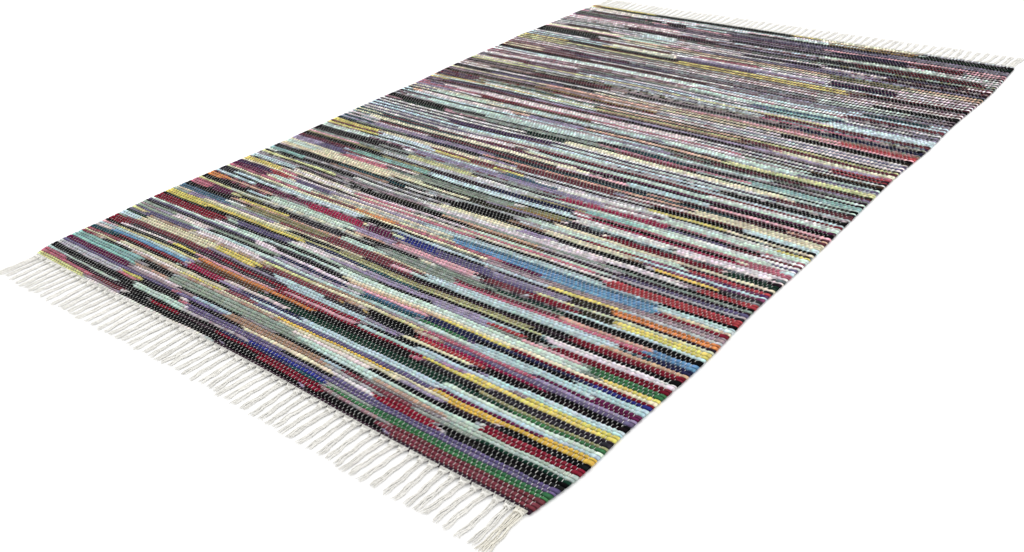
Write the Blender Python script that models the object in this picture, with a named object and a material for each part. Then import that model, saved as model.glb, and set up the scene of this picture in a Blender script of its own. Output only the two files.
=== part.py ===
"""Hand-woven cotton rag rug with a knotted fringe at each end, lying flat on the floor.

Metres, +Z up. X runs across the weave, Y along it, and the origin is on the floor under the middle.
"""

import math
import random

import bmesh
import bpy

# The woven cloth: a weft of cotton rag strips beaten up in rows across a thin white warp
CLOTH_WIDTH = 1.200
CLOTH_LENGTH = 1.800
OUT_OF_SQUARE = 0.010
FRONT_END = -(CLOTH_LENGTH + OUT_OF_SQUARE) / 2
THICKNESS = 0.0050
ROW_COUNT = 265
VALLEY_HEIGHT = 0.0036
END_ROW_HEIGHT = 0.0026
COLUMN_COUNT = 6

# The selvedge is rounded: the shoulder lies inside the widest line, and so does the foot
SHOULDER_INSET = 0.0032
SELVEDGE_HEIGHT = 0.0024
FOOT_INSET = 0.0012
SELVEDGE_STEPS = 60
SELVEDGE_BUMP = 0.0008

# How far each side edge stands out past half the width, by the distance from the front end
LEFT_EDGE = (
    {"along": 0.000, "out": -0.0055},
    {"along": 0.035, "out": 0.0065},
    {"along": 0.170, "out": 0.0100},
    {"along": 0.280, "out": 0.0162},
    {"along": 0.500, "out": 0.0092},
    {"along": 0.640, "out": 0.0052},
    {"along": 0.900, "out": 0.0082},
    {"along": 1.050, "out": 0.0042},
    {"along": 1.180, "out": 0.0102},
    {"along": 1.330, "out": 0.0102},
    {"along": 1.400, "out": 0.0077},
    {"along": 1.470, "out": 0.0127},
    {"along": 1.540, "out": 0.0057},
    {"along": 1.740, "out": -0.0020},
    {"along": 1.810, "out": -0.0077},
)
RIGHT_EDGE = (
    {"along": 0.000, "out": 0.0047},
    {"along": 0.090, "out": 0.0147},
    {"along": 0.190, "out": 0.0132},
    {"along": 0.400, "out": 0.0162},
    {"along": 0.540, "out": 0.0092},
    {"along": 0.720, "out": 0.0107},
    {"along": 0.900, "out": 0.0070},
    {"along": 1.120, "out": 0.0032},
    {"along": 1.270, "out": 0.0087},
    {"along": 1.400, "out": 0.0057},
    {"along": 1.620, "out": 0.0112},
    {"along": 1.800, "out": 0.0037},
)

# Rag strips differ in thickness, so the rows wander a little.
# Each wave: how far it moves a row, its length across, its length along, its phase
ROW_WAVES = (
    {"move": 0.0032, "across": 1.35, "along": 1.10, "phase": 0.4},
    {"move": 0.0016, "across": 0.62, "along": -0.47, "phase": 2.1},
)

# The fringe: warp ends gathered into knots close to the cloth, one strand or more from each knot
GAP = 0.00035
KNOT_COUNT = 65
KNOT_HEIGHT = 0.0056
KNOT_DEPTH = 0.0085
KNOT_SPREAD = 0.0030
KNOT_JITTER = 0.0009
WEB_HEIGHT = 0.0026
WEB_DEPTH = 0.0052
STRAND_LENGTH = 0.0720
STRAND_LENGTH_LOSS = 0.0050
STRAND_WIDENING = 0.17
STRAND_HEIGHT = 0.0034
STRAND_TIP_HEIGHT = 0.0022
STRAND_TOP_SHARE = 0.62
STRAND_STEPS = 4
STRAND_BEND = 0.0014
LEAN_SWING = 0.0045
LEAN_STEP = 0.83
LEAN_CHANCE = 0.0010
CORNER_LEAN = 0.0040
SPLIT_CLEARANCE = 0.0009
SPLIT_EVERY = 6

# Kinds of knot: how many strands leave it, its half width, and how far its outer strands splay
KNOT_KINDS = {
    "plain": {"strands": 1, "half": 0.0029, "splay": 0.0},
    "split": {"strands": 2, "half": 0.0037, "splay": 0.0020},
    "corner": {"strands": 3, "half": 0.0064, "splay": 0.0022},
}

# Colours of the rags, linear red, green and blue
RAG_COLOURS = {
    "black": (0.010, 0.010, 0.013),
    "plum": (0.085, 0.012, 0.045),
    "wine": (0.190, 0.016, 0.030),
    "rose": (0.480, 0.210, 0.270),
    "lilac": (0.230, 0.165, 0.330),
    "navy": (0.020, 0.025, 0.080),
    "ice": (0.430, 0.640, 0.660),
    "mint": (0.240, 0.460, 0.390),
    "green": (0.020, 0.120, 0.050),
    "yellow": (0.720, 0.460, 0.080),
    "pale_grey": (0.440, 0.450, 0.450),
}
WARP_WHITE = (0.790, 0.770, 0.710)
COTTON_ROUGHNESS = 0.92
RAG_SEED = 11
WIDEST_STRIPE = 3


def clear_scene():
    """Removes whatever the startup scene holds."""
    for obj in list(bpy.data.objects):
        bpy.data.objects.remove(obj)


def cotton(name, colour):
    """A matt cotton material of one colour."""
    material = bpy.data.materials.new(name)
    material.use_nodes = True
    shader = material.node_tree.nodes["Principled BSDF"]
    shader.inputs["Base Color"].default_value = (*colour, 1.0)
    shader.inputs["Roughness"].default_value = COTTON_ROUGHNESS
    shader.inputs["Metallic"].default_value = 0.0
    return material


def make_object(name, mesh, materials):
    """Turns a bmesh into an object with these materials."""
    bmesh.ops.recalc_face_normals(mesh, faces=mesh.faces)
    data = bpy.data.meshes.new(name)
    mesh.to_mesh(data)
    mesh.free()
    for material in materials:
        data.materials.append(material)
    obj = bpy.data.objects.new(name, data)
    bpy.context.scene.collection.objects.link(obj)
    return obj


def along_curve(points, along):
    """Reads a smooth curve through the points of an edge table."""
    last = len(points) - 1
    here = max(i for i in range(last) if i == 0 or points[i]["along"] <= along)

    def slope(i):
        before, after = points[max(i - 1, 0)], points[min(i + 1, last)]
        return (after["out"] - before["out"]) / (after["along"] - before["along"])

    start, stop = points[here], points[here + 1]
    span = stop["along"] - start["along"]
    t = min(max((along - start["along"]) / span, 0.0), 1.0)
    rise = t * t * (3 - 2 * t)
    return (
        start["out"] * (1 - rise)
        + stop["out"] * rise
        + slope(here) * span * t * (1 - t) ** 2
        - slope(here + 1) * span * t * t * (1 - t)
    )


def edge_x(share, side):
    """X of the widest line of a side edge. Share runs from 0 at the front end to 1 at the back."""
    table = RIGHT_EDGE if side > 0 else LEFT_EDGE
    return side * (CLOTH_WIDTH / 2 + along_curve(table, share * table[-1]["along"]))


def cloth_place(across, share, inset=SHOULDER_INSET):
    """X and Y of a point of the cloth. Across runs from 0 at the left edge to 1 at the right."""
    left = edge_x(share, -1) + inset
    right = edge_x(share, 1) - inset
    x = left + (right - left) * across
    length = CLOTH_LENGTH + OUT_OF_SQUARE * (1 - across)
    y = FRONT_END + share * length
    drift = sum(
        wave["move"]
        * math.sin(math.tau * (x / wave["across"] + y / wave["along"]) + wave["phase"])
        for wave in ROW_WAVES
    )
    return x, y + drift


def columns():
    """Each column's place across the cloth, from 0 to 1."""
    return [column / COLUMN_COUNT for column in range(COLUMN_COUNT + 1)]


def fan(mesh, many, few, beside):
    """Closes the band between two lines of vertices that run the same way.

    Beside gives, for each vertex of the longer line, the number of the one it lies beside in the shorter.
    """
    for index in range(len(many) - 1):
        here, there = beside[index], beside[index + 1]
        mesh.faces.new((many[index], few[here], many[index + 1]))
        for reached in range(here, there):
            mesh.faces.new((many[index + 1], few[reached], few[reached + 1]))


def line_height(line):
    """The height of a line of the ribbed face: ends, then crests and valleys by turns."""
    if line in (0, 2 * ROW_COUNT):
        return END_ROW_HEIGHT
    return THICKNESS if line % 2 else VALLEY_HEIGHT


def rag_stripes():
    """The colour number of each row: a rag lasts for one row or a few."""
    rags = random.Random(RAG_SEED)
    stripes = []
    while len(stripes) < ROW_COUNT:
        colour = rags.randrange(len(RAG_COLOURS))
        stripes += [colour] * rags.randint(1, WIDEST_STRIPE)
    return stripes


def ribbed_face(mesh):
    """The upper face with its weft rows raised. Returns its lines of vertices, front to back."""
    stripes = rag_stripes()
    lines = []
    for line in range(2 * ROW_COUNT + 1):
        share = line / (2 * ROW_COUNT)
        height = line_height(line)
        lines.append(
            [mesh.verts.new((*cloth_place(across, share), height)) for across in columns()]
        )
    for line, (near, far) in enumerate(zip(lines, lines[1:])):
        for column in range(COLUMN_COUNT):
            face = mesh.faces.new(
                (near[column], near[column + 1], far[column + 1], far[column])
            )
            face.material_index = stripes[line // 2]
    return lines


def selvedge(mesh, side, shoulder):
    """One rounded side edge. Returns its widest line and its foot line, front to back."""
    bumps = random.Random(5 + side)
    widest = []
    foot = []
    for step in range(SELVEDGE_STEPS + 1):
        share = step / SELVEDGE_STEPS
        inset = 0.0 if step in (0, SELVEDGE_STEPS) else bumps.uniform(0, SELVEDGE_BUMP)
        x, y = cloth_place(max(side, 0), share, inset)
        widest.append(mesh.verts.new((x, y, SELVEDGE_HEIGHT)))
        foot.append(mesh.verts.new((x - side * FOOT_INSET, y, 0.0)))
    per_step = (len(shoulder) - 1) / SELVEDGE_STEPS
    fan(mesh, shoulder, widest, [round(line / per_step) for line in range(len(shoulder))])
    for step in range(SELVEDGE_STEPS):
        mesh.faces.new((widest[step], widest[step + 1], foot[step + 1], foot[step]))
    return widest, foot


def woven_cloth():
    """The cloth as one closed sheet: ribbed above, flat below, with rounded selvedges."""
    mesh = bmesh.new()
    lines = ribbed_face(mesh)
    left_widest, left_foot = selvedge(mesh, -1, [line[0] for line in lines])
    right_widest, right_foot = selvedge(mesh, 1, [line[-1] for line in lines])
    end_feet = []
    for line, end in ((lines[0], 0), (lines[-1], -1)):
        feet = [mesh.verts.new((vertex.co.x, vertex.co.y, 0.0)) for vertex in line]
        for column in range(COLUMN_COUNT):
            mesh.faces.new((line[column], line[column + 1], feet[column + 1], feet[column]))
        mesh.faces.new((line[0], feet[0], left_foot[end], left_widest[end]))
        mesh.faces.new((line[-1], feet[-1], right_foot[end], right_widest[end]))
        end_feet.append(feet)
    front, back = end_feet
    mesh.faces.new([*front, *right_foot, *reversed(back), *reversed(left_foot)])
    rags = [cotton(name, colour) for name, colour in RAG_COLOURS.items()]
    return make_object("woven_cloth", mesh, rags)


def end_line(end):
    """The cloth's edge at one end, as places from left to right. End is -1 or 1."""
    return [cloth_place(across, max(end, 0)) for across in columns()]


def end_y(line, x):
    """Y of the cloth's end at x, straight between its columns."""
    for (x0, y0), (x1, y1) in zip(line, line[1:]):
        if x <= x1 or x1 == line[-1][0]:
            return y0 + (y1 - y0) * (x - x0) / (x1 - x0)
    return line[-1][1]


def tassels(end, seed):
    """Each knot of one end from left to right, with how its strands lie."""
    chance = random.Random(seed)
    line = end_line(end)
    left, right = line[0][0], line[-1][0]
    pitch = (right - left) / KNOT_COUNT
    for index in range(KNOT_COUNT):
        split = index % SPLIT_EVERY == SPLIT_EVERY // 2
        kind = KNOT_KINDS["split" if split else "plain"]
        centre = left + (index + 0.5) * pitch + chance.uniform(-1, 1) * KNOT_JITTER
        length = STRAND_LENGTH - chance.uniform(0, STRAND_LENGTH_LOSS)
        lean = LEAN_SWING * math.sin(LEAN_STEP * index + end)
        lean += chance.uniform(-1, 1) * LEAN_CHANCE
        bend = chance.uniform(-1, 1) * STRAND_BEND
        if index in (0, KNOT_COUNT - 1):
            kind = KNOT_KINDS["corner"]
            outward = 1 if index else -1
            reach = kind["half"] + KNOT_SPREAD
            centre = right - reach if index else left + reach
            lean = outward * CORNER_LEAN
            length = STRAND_LENGTH
        yield {"kind": kind, "centre": centre, "length": length, "lean": lean, "bend": bend}


def strand_roots(tassel):
    """The left and right X of each strand where it leaves its knot."""
    kind = tassel["kind"]
    count = kind["strands"]
    width = (2 * kind["half"] - (count - 1) * SPLIT_CLEARANCE) / count
    for number in range(count):
        left = tassel["centre"] - kind["half"] + number * (width + SPLIT_CLEARANCE)
        yield left, left + width


def strand_sections(tassel, root, number, y, end):
    """The corners of each section of a strand past its root, lying level on the floor."""
    kind = tassel["kind"]
    centre = (root[0] + root[1]) / 2
    half = (root[1] - root[0]) / 2
    sideways = tassel["lean"] + kind["splay"] * (number - (kind["strands"] - 1) / 2)
    for step in range(1, STRAND_STEPS + 1):
        share = step / STRAND_STEPS
        x = centre + sideways * share + tassel["bend"] * math.sin(math.pi * share)
        wide = half * (1 + STRAND_WIDENING * share)
        top = wide * STRAND_TOP_SHARE
        reach = y + end * tassel["length"] * share
        height = STRAND_HEIGHT + (STRAND_TIP_HEIGHT - STRAND_HEIGHT) * share
        yield (
            (x - wide, reach, 0.0),
            (x + wide, reach, 0.0),
            (x + top, reach, height),
            (x - top, reach, height),
        )


def add_strand(mesh, root, sections):
    """Extends the four root vertices through the sections and closes the tip."""
    ring = root
    for corners in sections:
        following = [mesh.verts.new(corner) for corner in corners]
        for corner in range(4):
            after = (corner + 1) % 4
            mesh.faces.new((ring[corner], ring[after], following[after], following[corner]))
        ring = following
    mesh.faces.new(ring)


def fringe_outline(tassel_row, line):
    """X, knot or web, and strand number at each point along the front of the knotted strip."""
    yield line[0][0], "web", None
    for index, tassel in enumerate(tassel_row):
        reach = tassel["kind"]["half"] + KNOT_SPREAD
        if index:
            yield tassel["centre"] - reach, "web", None
        for number, (left, right) in enumerate(strand_roots(tassel)):
            yield left, "knot", (tassel, (left, right), number)
            yield right, "knot", None
        if index < KNOT_COUNT - 1:
            yield tassel["centre"] + reach, "web", None
    yield line[-1][0], "web", None


def knotted_fringe(name, end, seed):
    """A narrow strip of knots along one end of the cloth, with the strands that leave them."""
    mesh = bmesh.new()
    line = end_line(end)
    points = list(fringe_outline(list(tassels(end, seed)), line))
    crest = []
    tops = []
    feet = []
    back_tops = []
    back_feet = []
    beside = []
    for x, part, _ in points:
        at_cloth = end_y(line, x) + end * GAP
        knot = part == "knot"
        if not knot:
            back_tops.append(mesh.verts.new((x, at_cloth, WEB_HEIGHT)))
            back_feet.append(mesh.verts.new((x, at_cloth, 0.0)))
        beside.append(len(back_tops) - 1)
        y = at_cloth + end * (KNOT_DEPTH if knot else WEB_DEPTH)
        crest_height = KNOT_HEIGHT if knot else WEB_HEIGHT
        crest.append(mesh.verts.new((x, (at_cloth + y) / 2, crest_height)))
        tops.append(mesh.verts.new((x, y, STRAND_HEIGHT if knot else WEB_HEIGHT)))
        feet.append(mesh.verts.new((x, y, 0.0)))
    for index, (_, _, strand) in enumerate(points[:-1]):
        mesh.faces.new((crest[index], crest[index + 1], tops[index + 1], tops[index]))
        if not strand:
            mesh.faces.new((tops[index], tops[index + 1], feet[index + 1], feet[index]))
            continue
        root = [feet[index], feet[index + 1], tops[index + 1], tops[index]]
        add_strand(mesh, root, strand_sections(*strand, tops[index].co.y, end))
    fan(mesh, crest, back_tops, beside)
    fan(mesh, feet, back_feet, beside)
    for web in range(len(back_tops) - 1):
        mesh.faces.new((back_tops[web], back_tops[web + 1], back_feet[web + 1], back_feet[web]))
    for side in (0, -1):
        mesh.faces.new((back_feet[side], back_tops[side], crest[side], tops[side], feet[side]))
    return make_object(name, mesh, [cotton(name + "_cotton", WARP_WHITE)])


def main():
    clear_scene()
    woven_cloth()
    knotted_fringe("front_fringe", -1, 21)
    knotted_fringe("back_fringe", 1, 34)


main()
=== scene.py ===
"""Looks of the cotton rag rug: its woven rag rows, white warp dashes and knotted tassels.

Metres, +Z up. X runs across the weave, Y along it from the front tassels to the back ones.
"""

import math
import random

import bpy
import numpy as np
from mathutils import Matrix, Vector


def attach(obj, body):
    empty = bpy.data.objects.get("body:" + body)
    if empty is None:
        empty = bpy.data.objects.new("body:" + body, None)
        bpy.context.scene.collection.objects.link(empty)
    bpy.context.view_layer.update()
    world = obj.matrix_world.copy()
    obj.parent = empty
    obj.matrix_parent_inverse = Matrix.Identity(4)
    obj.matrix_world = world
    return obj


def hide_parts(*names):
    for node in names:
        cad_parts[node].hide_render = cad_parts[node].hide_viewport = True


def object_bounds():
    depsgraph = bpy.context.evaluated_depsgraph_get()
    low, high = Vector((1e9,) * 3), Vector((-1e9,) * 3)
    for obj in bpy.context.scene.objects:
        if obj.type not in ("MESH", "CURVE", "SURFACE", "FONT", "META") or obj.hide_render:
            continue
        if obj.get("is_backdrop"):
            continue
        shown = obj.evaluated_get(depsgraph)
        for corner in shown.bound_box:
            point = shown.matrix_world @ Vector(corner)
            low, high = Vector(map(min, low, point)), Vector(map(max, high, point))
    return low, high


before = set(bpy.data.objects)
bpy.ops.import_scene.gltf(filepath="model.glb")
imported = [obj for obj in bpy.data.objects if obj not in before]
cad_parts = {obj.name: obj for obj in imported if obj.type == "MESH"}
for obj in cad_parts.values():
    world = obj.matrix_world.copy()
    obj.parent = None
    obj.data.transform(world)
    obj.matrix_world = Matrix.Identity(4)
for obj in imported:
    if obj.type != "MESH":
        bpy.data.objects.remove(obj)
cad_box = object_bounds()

# The photograph's camera
CAMERA_PLACE = (1.22698, -1.60312, 0.88109)
CAMERA_FORWARD = (-0.59107, 0.63160, -0.50170)
CAMERA_UP = (-0.27561, 0.42641, 0.86152)
CAMERA_LENS_MM = 36.255
CAMERA_SENSOR_MM = 36.0
CAMERA_SHIFT_X = 0.0214


def make_camera():
    """The camera that sees the rug as the photograph does."""
    data = bpy.data.cameras.new("camera")
    data.sensor_fit = "HORIZONTAL"
    data.sensor_width = CAMERA_SENSOR_MM
    data.lens = CAMERA_LENS_MM
    data.shift_x = CAMERA_SHIFT_X
    data.clip_start = 0.05
    data.clip_end = 60.0
    camera = bpy.data.objects.new("camera", data)
    bpy.context.scene.collection.objects.link(camera)
    forward = Vector(CAMERA_FORWARD).normalized()
    right = forward.cross(Vector(CAMERA_UP)).normalized()
    up = right.cross(forward)
    turned = Matrix((right, up, -forward)).transposed().to_4x4()
    camera.matrix_world = Matrix.Translation(Vector(CAMERA_PLACE)) @ turned
    bpy.context.scene.camera = camera


make_camera()

# The woven cloth, as in the solid it covers
CLOTH_WIDTH = 1.200
CLOTH_LENGTH = 1.800
OUT_OF_SQUARE = 0.010
FRONT_END = -(CLOTH_LENGTH + OUT_OF_SQUARE) / 2
ROW_COUNT = 265
ROW_PITCH = CLOTH_LENGTH / ROW_COUNT
SHOULDER_INSET = 0.0032

# How far each side edge stands out past half the width, by the distance from the front end
LEFT_EDGE = (
    {"along": 0.000, "out": -0.0055},
    {"along": 0.035, "out": 0.0065},
    {"along": 0.170, "out": 0.0100},
    {"along": 0.280, "out": 0.0162},
    {"along": 0.500, "out": 0.0092},
    {"along": 0.640, "out": 0.0052},
    {"along": 0.900, "out": 0.0082},
    {"along": 1.050, "out": 0.0042},
    {"along": 1.180, "out": 0.0102},
    {"along": 1.330, "out": 0.0102},
    {"along": 1.400, "out": 0.0077},
    {"along": 1.470, "out": 0.0127},
    {"along": 1.540, "out": 0.0057},
    {"along": 1.740, "out": -0.0020},
    {"along": 1.810, "out": -0.0077},
)
RIGHT_EDGE = (
    {"along": 0.000, "out": 0.0047},
    {"along": 0.090, "out": 0.0147},
    {"along": 0.190, "out": 0.0132},
    {"along": 0.400, "out": 0.0162},
    {"along": 0.540, "out": 0.0092},
    {"along": 0.720, "out": 0.0107},
    {"along": 0.900, "out": 0.0070},
    {"along": 1.120, "out": 0.0032},
    {"along": 1.270, "out": 0.0087},
    {"along": 1.400, "out": 0.0057},
    {"along": 1.620, "out": 0.0112},
    {"along": 1.800, "out": 0.0037},
)
ROW_WAVES = (
    {"move": 0.0032, "across": 1.35, "along": 1.10, "phase": 0.4},
    {"move": 0.0016, "across": 0.62, "along": -0.47, "phase": 2.1},
)

# Smaller waves of the rows, which die out at the two ends of the rug, and each row's own wandering
SMALL_WAVES = (
    {"move": 0.0010, "across": 0.83, "along": 0.31, "phase": 1.0},
    {"move": 0.0010, "across": 0.37, "along": -0.19, "phase": 2.6},
)
SMALL_WAVES_FADE = 0.3
ROW_UNEVENNESS = 0.0012
ROW_WAVER = 0.0009
WAVER_LENGTHS = (0.075, 0.16, 0.33)
WAVER_STRETCH = (0.75, 1.3)

# The warp: white ends that pass over every second row, the outermost doubled at each selvedge
WARP_COUNT = 299
FIRST_WARP = 0.0120
DOUBLED_WARPS = (0.0093, 0.0107)
DOUBLED_OVERLAP = 0.2

# A float, where the warp passes over a row. Its ends and shoulders lie inside it by shares of its length
FLOAT_POINTS = 8
FLOAT_END = 0.09
FLOAT_SHOULDER = 0.25
FLOAT_HALF_WIDTH = 0.00056
FLOAT_WIDTHS = (0.75, 1.2)
FLOAT_THICKNESS = 0.00062
FLOAT_THICKNESSES = (0.85, 1.2)
FLOAT_SINK = 0.0001
FLOAT_SWAY = 0.00035
FLOAT_END_HEIGHT = 0.0023
FLOAT_DROP_AT_FRINGE = 0.0006
FLOAT_SHADES = (0.80, 1.0)
# Painted shade at a float's two ends, where it dips between the rows
FLOAT_END_PAINTED_SHADE = 0.7

# How a factor grows towards the left and the back, and how much it narrows the warp floats and darkens them
# there
RAMP_LEFT = 0.9
RAMP_BACK = 0.45
WARP_NARROWING = 0.54
WARP_DARKENING = 0.38

# A weft row in section: where its lines run, from its front edge to its back edge
ROW_LINES = (0.0, 0.27, 0.73, 1.0)
VALLEY_HEIGHT = 0.0022
VALLEY_DIP = 0.0002
CREST_HEIGHT = 0.0046
BEAD_RISE = 0.0004
WARP_PRESS = 0.0015
PINCH = 0.0006
HEIGHT_UNEVENNESS = 0.00022
END_HEIGHT = 0.0001

# Painted shade in the valleys between rows, lessened in pale rags by painted bounce light; painted shade on
# rags pressed under the warp and painted light on the beads; and how each grows towards the left and the
# back
VALLEY_PAINTED_SHADE = 0.12
VALLEY_GLOW = 0.45
VALLEY_LOSS = 0.75
PRESSED_PAINTED_SHADE = 0.74
PRESSED_LOSS = 0.50
BEAD_PAINTED_LIGHT = 0.22

# A rag's turn round the outer warp: how far in each line of it lies, how high, and its share of the bulge
SELVEDGE_PROFILE = (
    {"inset": 0.0014, "height": 0.0004, "bulge": 1.0},
    {"inset": 0.0000, "height": 0.0023, "bulge": 1.0},
    {"inset": 0.0016, "height": 0.0040, "bulge": 0.9},
    {"inset": 0.0045, "height": 0.0048, "bulge": 0.4},
    {"inset": 0.0080, "height": 0.0044, "bulge": 0.1},
)
TURN_BULGE = 0.0009
TURN_OUT = 0.4
TURN_OUT_AT_CREST = 0.55
NOTCH_IN = -1.3
TURN_VALLEY = 0.0042

# The thin body under the rows, which is the cloth's underside
BODY_INSET = 0.0022
BODY_TOP = 0.0016
BODY_RIB = 0.0005
BODY_BOTTOM = 0.0001
BODY_COLUMNS = 10
# Painted shade on the body's top, which lies under the rows
BODY_TOP_PAINTED_SHADE = 0.5
BODY_MAP_WIDTH = 0.48
BODY_MAP_UNDERSIDE = 0.5
BODY_MAP_RIM = 0.99

# Where each kind of chance starts, so that every run gives the same rug
SEEDS = {
    "rows": 41, "rags": 7, "beads": 90, "heights": 1000, "tapers": 5, "floats": 300, "doubled": 600,
    "float_shades": 77, "front_tassels": 21, "back_tassels": 34, "yarns": 500,
}


def edge_curve(table, along):
    """Reads the smooth curve through an edge table at many places at once."""
    places = np.array([point["along"] for point in table])
    outs = np.array([point["out"] for point in table])
    last = len(table) - 1
    before = np.maximum(np.arange(last + 1) - 1, 0)
    after = np.minimum(np.arange(last + 1) + 1, last)
    slopes = (outs[after] - outs[before]) / (places[after] - places[before])
    here = np.clip(np.searchsorted(places, along, side="right") - 1, 0, last - 1)
    span = places[here + 1] - places[here]
    t = np.clip((along - places[here]) / span, 0.0, 1.0)
    rise = t * t * (3 - 2 * t)
    level = outs[here] * (1 - rise) + outs[here + 1] * rise
    lean = slopes[here] * t * (1 - t) ** 2 - slopes[here + 1] * t * t * (1 - t)
    return level + span * lean


def edge_x(share, side):
    """X of the widest line of a side edge. Share runs from 0 at the front end to 1 at the back."""
    table = RIGHT_EDGE if side > 0 else LEFT_EDGE
    return side * (CLOTH_WIDTH / 2 + edge_curve(table, share * table[-1]["along"]))


def waves(table, x, y):
    """How far a table's waves move the rows at x and y."""
    return sum(
        wave["move"] * np.sin(math.tau * (x / wave["across"] + y / wave["along"]) + wave["phase"])
        for wave in table
    )


def cloth_y(x, share):
    """Y of a point of the cloth, with the slow drift that the rags' thickness gives the rows."""
    left = edge_x(share, -1) + SHOULDER_INSET
    right = edge_x(share, 1) - SHOULDER_INSET
    across = (x - left) / (right - left)
    y = FRONT_END + share * (CLOTH_LENGTH + OUT_OF_SQUARE * (1 - across))
    return y + waves(ROW_WAVES, x, y)


def back_left_ramp(x, y):
    """A factor that is least at the front right corner and most at the far left and the back; it narrows
    and darkens the warp floats and strengthens the weft's painted light and shade.
    """
    left = 0.5 - x / CLOTH_WIDTH
    back = 0.5 + y / CLOTH_LENGTH
    return np.clip(RAMP_LEFT * left + RAMP_BACK * back, 0, 1)


def selvedge(key, side):
    """One column of the selvedge's table, in its order from left to right on that side."""
    values = np.array([point[key] for point in SELVEDGE_PROFILE])
    return values if side < 0 else values[::-1]


def column_x(share):
    """X of every column of the weft at each share: left selvedge, warps, right selvedge."""
    left = edge_x(share, -1)[..., None]
    right = edge_x(share, 1)[..., None]
    step = np.arange(WARP_COUNT) / (WARP_COUNT - 1)
    warps = left + FIRST_WARP + (right - left - 2 * FIRST_WARP) * step
    return np.concatenate([left + selvedge("inset", -1), warps, right - selvedge("inset", 1)], axis=-1)


LAST_LINE = len(ROW_LINES) - 1
SELVEDGE_COLUMNS = len(SELVEDGE_PROFILE)
SELVEDGES = {-1: slice(0, SELVEDGE_COLUMNS), 1: slice(-SELVEDGE_COLUMNS, None)}
COLUMN_COUNT = WARP_COUNT + 2 * SELVEDGE_COLUMNS
COLUMNS = np.arange(COLUMN_COUNT)
WARP_NUMBER = COLUMNS - SELVEDGE_COLUMNS
IS_WARP = (WARP_NUMBER >= 0) & (WARP_NUMBER < WARP_COUNT)
BORDERS = np.arange(ROW_COUNT + 1)


def waver(chance, lines, x, move, lengths):
    """A small smooth wandering of each line along x, each line with its own."""
    total = np.zeros((lines, x.shape[-1]))
    for length in lengths:
        phase = chance.uniform(0, math.tau, (lines, 1))
        stretch = chance.uniform(*WAVER_STRETCH, (lines, 1))
        total += np.sin(math.tau * x / (length * stretch) + phase)
    return move * total / math.sqrt(len(lengths))


def row_borders():
    """Y of the border in front of each row at every column, the last one being the back end."""
    chance = np.random.default_rng(SEEDS["rows"])
    share = BORDERS / ROW_COUNT
    x = column_x(share)
    y = cloth_y(x, share[:, None])
    loose = np.ones((ROW_COUNT + 1, 1))
    loose[[0, -1]] = 0.0
    y += loose * chance.uniform(-1, 1, (ROW_COUNT + 1, 1)) * ROW_UNEVENNESS
    y += loose * waver(chance, ROW_COUNT + 1, x, ROW_WAVER, WAVER_LENGTHS)
    y += waves(SMALL_WAVES, x, y) * np.sin(math.pi * share)[:, None] ** SMALL_WAVES_FADE
    sign = 1 - 2 * ((BORDERS[:, None] + WARP_NUMBER) % 2)
    return y + PINCH * sign * IS_WARP


ROW_BORDERS = row_borders()


def is_over(rows):
    """Whether each warp passes over each of these rows."""
    return IS_WARP & ((rows[:, None] + WARP_NUMBER) % 2 == 0)


def turns_here(borders, side):
    """Whether the rag turns round the selvedge at this border, joining the rows on each side of it."""
    odd = 1 if side < 0 else 0
    return (borders % 2 == odd) & (borders > 0) & (borders < ROW_COUNT)


# Colours of the rags and of the prints on them, as they look: red, green and blue out of 255
RAG_COLOURS = {
    "black": (12, 12, 15),
    "charcoal": (50, 47, 55),
    "plum_black": (50, 32, 46),
    "maroon": (118, 56, 67),
    "brown": (92, 66, 50),
    "olive_black": (44, 42, 28),
    "wine": (128, 22, 44),
    "crimson": (158, 30, 74),
    "red": (176, 58, 66),
    "rose": (184, 100, 120),
    "pink": (224, 168, 180),
    "pinkish_white": (232, 218, 221),
    "plum": (98, 30, 72),
    "dark_lilac": (104, 93, 131),
    "lilac": (157, 143, 175),
    "purple": (74, 44, 92),
    "royal": (44, 52, 134),
    "navy": (38, 42, 80),
    "steel": (76, 110, 136),
    "sky": (98, 146, 186),
    "ice": (188, 214, 218),
    "turquoise": (140, 186, 182),
    "mint": (196, 218, 206),
    "teal": (34, 78, 88),
    "green": (62, 116, 76),
    "dark_green": (23, 58, 45),
    "grey_green": (140, 154, 143),
    "lime": (206, 208, 146),
    "yellow": (224, 207, 106),
    "gold": (234, 192, 84),
    "cream": (226, 218, 184),
    "khaki": (150, 144, 104),
    "ochre": (164, 126, 70),
    "orange": (212, 132, 72),
    "peach": (216, 174, 148),
    "tan": (160, 127, 108),
    "grey": (140, 138, 144),
    "pale_grey": (192, 194, 197),
    "rose_grey": (158, 138, 148),
    "white": (230, 230, 227),
}

# Cotton of the warp and the tassels
WARP_WHITE = (252, 251, 247)
TASSEL_WHITE = (247, 245, 239)
AGED_WHITE = (246, 242, 230)

# Rags of ordinary cloth, and how often each is woven in by the two shuttles, whose rows alternate
COMMON_RAGS = (
    {
        "ice": 9, "mint": 8, "pale_grey": 12, "white": 8, "cream": 10, "pinkish_white": 14,
        "rose_grey": 8, "lilac": 8, "peach": 5, "yellow": 4, "lime": 3, "grey_green": 6, "pink": 3,
    },
    {
        "rose_grey": 8, "lilac": 9, "grey": 8, "grey_green": 6, "khaki": 5, "rose": 6, "charcoal": 12,
        "plum_black": 12, "black": 10, "maroon": 7, "wine": 4, "dark_lilac": 6, "teal": 3, "plum": 3,
        "tan": 4, "pinkish_white": 6, "ice": 5,
    },
)

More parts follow.
